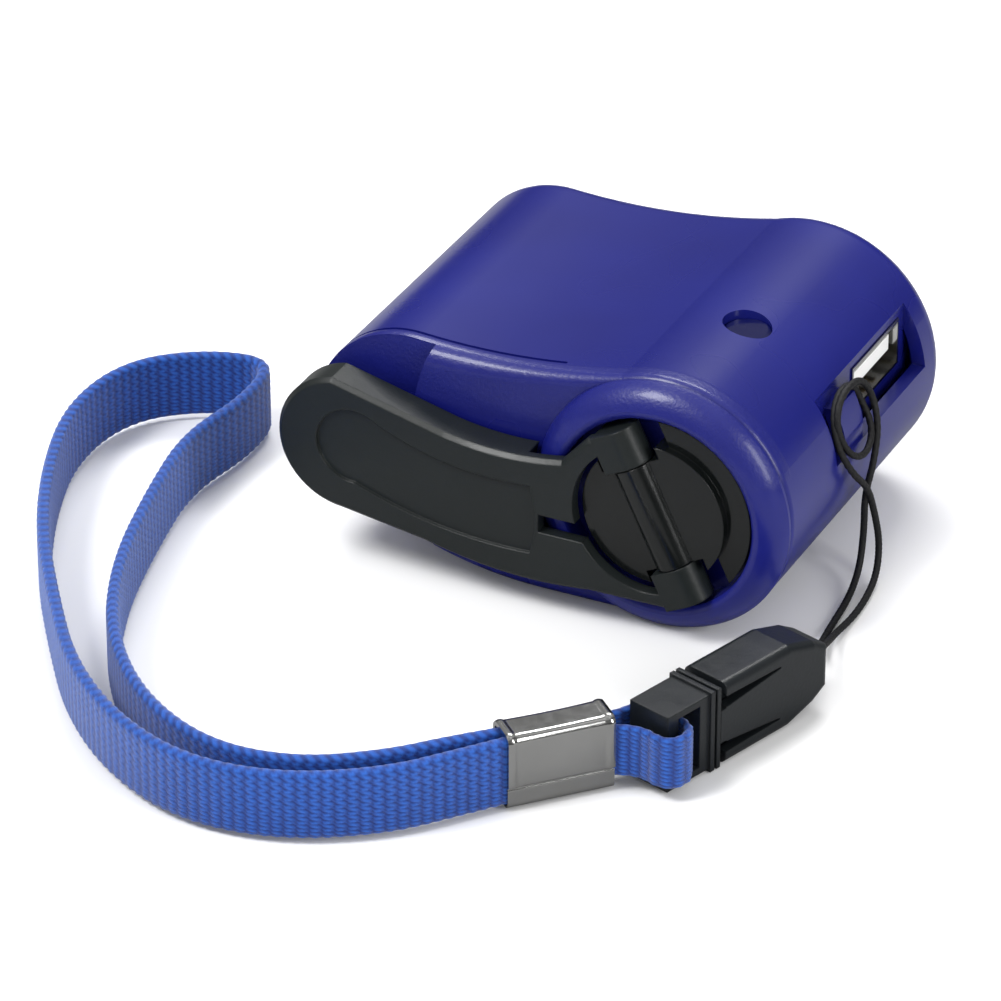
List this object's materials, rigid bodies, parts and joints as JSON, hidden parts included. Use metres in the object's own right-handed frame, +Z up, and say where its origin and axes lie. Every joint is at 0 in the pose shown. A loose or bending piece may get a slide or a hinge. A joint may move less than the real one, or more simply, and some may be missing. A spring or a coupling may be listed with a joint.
{
  "type": "hand crank phone charger",
  "caption": "Pocket charger case with a fold-out crank arm, turning knob, gear train, generator, USB socket and a buckled wrist strap on a string loop.",
  "frame": {"origin": "centre of the case footprint, on the surface that the charger lies on", "axes": "+X to the right lobe with the USB socket, along the 60 mm length; +Y from the crank side to the back; +Z up"},
  "size_m": [0.0981, 0.1025, 0.0302],
  "materials": {
    "case_blue": "satin-gloss moulded",
    "arm_black": "satin",
    "hub_black": "semi-gloss",
    "knob_black": "satin",
    "steel": "machined",
    "nickel": "polished",
    "gear_white": "moulded",
    "brass": "machined",
    "iron": "laminated",
    "copper": "enamelled wire",
    "magnet": "sintered",
    "board_green": "solder mask",
    "chip_black": "moulded epoxy",
    "tongue_white": "moulded",
    "gold": "plated",
    "lens_clear": "clear",
    "wire_red": "insulated",
    "wire_black": "insulated",
    "buckle_dark": "satin",
    "strap_blue": "knitted",
    "string_black": "braided"
  },
  "bodies": {
    "case": {"upper_shell": "case_blue", "lower_shell": "case_blue", "case_screw_1": "steel", "case_screw_2": "steel", "case_screw_3": "steel", "case_screw_4": "steel", "hub_bezel": "case_blue", "hub_bush": "brass", "gear_plate_front": "steel", "gear_plate_rear": "steel", "gear_shaft_a": "steel", "gear_shaft_b": "steel", "plate_spacer_1": "steel", "plate_spacer_2": "steel", "generator_can": "steel", "generator_cap": "steel", "generator_bearing": "brass", "stator_core": "iron", "stator_coil_front": "copper", "stator_coil_rear": "copper", "circuit_board": "board_green", "charge_light": "lens_clear", "usb_shell": "nickel", "usb_tongue": "tongue_white", "usb_contact_1": "gold", "usb_contact_2": "gold", "usb_contact_3": "gold", "usb_contact_4": "gold", "controller_chip": "chip_black", "rectifier": "chip_black", "capacitor": "steel", "inductor": "chip_black", "light_lens": "lens_clear", "lead_red": "wire_red", "lead_black": "wire_black", "buckle_socket": "buckle_dark", "string_loop": "string_black"},
    "crank": {"crank_hub": "hub_black", "drive_gear": "gear_white", "drive_screw": "steel"},
    "arm": {"crank_arm": "arm_black", "hinge_pin": "steel", "knob_pin": "steel"},
    "knob": {"knob": "knob_black"},
    "gear_a": {"gear_a": "gear_white"},
    "gear_b": {"gear_b": "gear_white"},
    "rotor": {"rotor_pinion": "brass", "rotor_shaft": "steel", "rotor_magnet": "magnet"},
    "strap": {"buckle_plug": "buckle_dark", "ferrule": "nickel", "strap_tab": "strap_blue", "wrist_strap": "strap_blue"},
    "latch_1": {"latch_prong_1": "buckle_dark"},
    "latch_2": {"latch_prong_2": "buckle_dark"}
  },
  "joints": [
    {"name": "crank_spin", "type": "hinge", "parent": "case", "child": "crank", "pos_m": [0.015, 0, 0.015], "axis": [0, 1, 0], "continuous": true, "deforming": ["string_loop"]},
    {"name": "arm_fold", "type": "hinge", "parent": "crank", "child": "arm", "pos_m": [0.015, -0.0216, 0.015], "axis": [-0.4384, 0, 0.8988], "range_deg": [0, 150]},
    {"name": "knob_spin", "type": "hinge", "parent": "arm", "child": "knob", "pos_m": [-0.0219, 0, 0.0153], "axis": [0, 1, 0], "continuous": true},
    {"name": "gear_a_spin", "type": "hinge", "parent": "case", "child": "gear_a", "pos_m": [0.0026, 0, 0.015], "axis": [0, 1, 0], "continuous": true},
    {"name": "gear_b_spin", "type": "hinge", "parent": "case", "child": "gear_b", "pos_m": [-0.007, 0, 0.015], "axis": [0, 1, 0], "continuous": true},
    {"name": "rotor_spin", "type": "hinge", "parent": "case", "child": "rotor", "pos_m": [-0.0162, 0, 0.015], "axis": [0, 1, 0], "continuous": true},
    {"name": "buckle_release", "type": "slide", "parent": "case", "child": "strap", "axis": [-0.309, -0.9511, 0], "range_m": [0, 0.012]},
    {"name": "latch_1_press", "type": "hinge", "parent": "strap", "child": "latch_1", "pos_m": [0.03037, -0.04166, 0.0073], "axis": [-0.9511, 0.309, 0], "range_deg": [0, 4], "stiffness_Nm_per_rad": 0.36},
    {"name": "latch_2_press", "type": "hinge", "parent": "strap", "child": "latch_2", "pos_m": [0.03037, -0.04166, 0.0027], "axis": [0.9511, -0.309, 0], "range_deg": [0, 4], "stiffness_Nm_per_rad": 0.36}
  ],
  "couplings": [
    {"joint": "gear_a_spin", "follows": "crank_spin", "ratio": -4.1667},
    {"joint": "gear_b_spin", "follows": "crank_spin", "ratio": 12.5},
    {"joint": "rotor_spin", "follows": "crank_spin", "ratio": -45}
  ]
}
